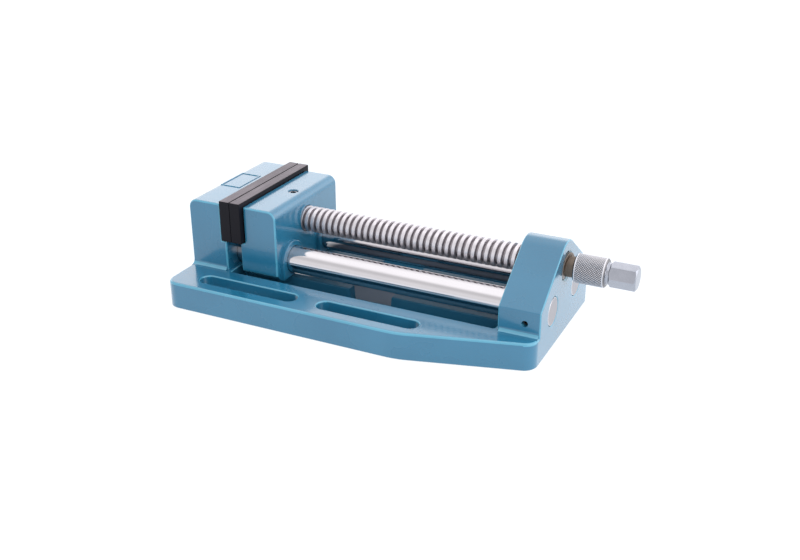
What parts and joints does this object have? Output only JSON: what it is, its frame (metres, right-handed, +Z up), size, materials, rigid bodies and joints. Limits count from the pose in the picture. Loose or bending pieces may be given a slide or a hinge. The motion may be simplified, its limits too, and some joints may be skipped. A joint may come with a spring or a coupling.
{
  "type": "machine vise",
  "caption": "Drill-press machine vise: slotted cast base, fixed jaw, sliding jaw on twin guide rods, bare lead screw with knurled sleeve and hexagon drive.",
  "frame": {"origin": "on the machined underside of the base, midway between the vise's two ends and its two sides", "axes": "+X along the lead screw from the fixed jaw to the hexagon drive, +Z up from the underside, +Y across the jaws"},
  "size_m": [0.3274, 0.1724, 0.0751],
  "materials": {
    "blue_enamel": "gloss enamel over cast iron, slight orange peel",
    "blued_plate_steel": "blued sides, ground top edges",
    "ground_chrome": "ground and hard chromed",
    "screw_steel": "turned, lightly oiled",
    "bright_zinc": "bright zinc plate",
    "black_oxide": "black oxide",
    "bearing_bronze": "turned, oiled"
  },
  "bodies": {
    "base": {"base_casting": "blue_enamel", "fixed_jaw_plate": "blued_plate_steel", "fixed_plate_screw_near": "black_oxide", "fixed_plate_screw_far": "black_oxide", "guide_rod_near": "ground_chrome", "guide_rod_far": "ground_chrome", "rod_lock_screw_near": "black_oxide", "rod_lock_screw_far": "black_oxide", "spindle_nut": "bearing_bronze", "nut_key_pin": "black_oxide"},
    "jaw": {"moving_jaw": "blue_enamel", "moving_jaw_plate": "blued_plate_steel", "moving_plate_screw_near": "black_oxide", "moving_plate_screw_far": "black_oxide", "thrust_button": "black_oxide", "dog_screw": "black_oxide", "dog_lock_screw": "black_oxide"},
    "spindle": {"lead_screw": "screw_steel", "drive_sleeve": "bright_zinc", "sleeve_pin": "black_oxide"}
  },
  "joints": [
    {"name": "jaw_slide", "type": "slide", "parent": "base", "child": "jaw", "axis": [1, 0, 0], "range_m": [0, 0.165]},
    {"name": "spindle_spin", "type": "hinge", "parent": "jaw", "child": "spindle", "pos_m": [0, 0, 0.0518], "axis": [1, 0, 0], "range_deg": [-11881, 0]}
  ],
  "couplings": [
    {"joint": "spindle_spin", "follows": "jaw_slide", "rad_per_m": -1256.6}
  ]
}
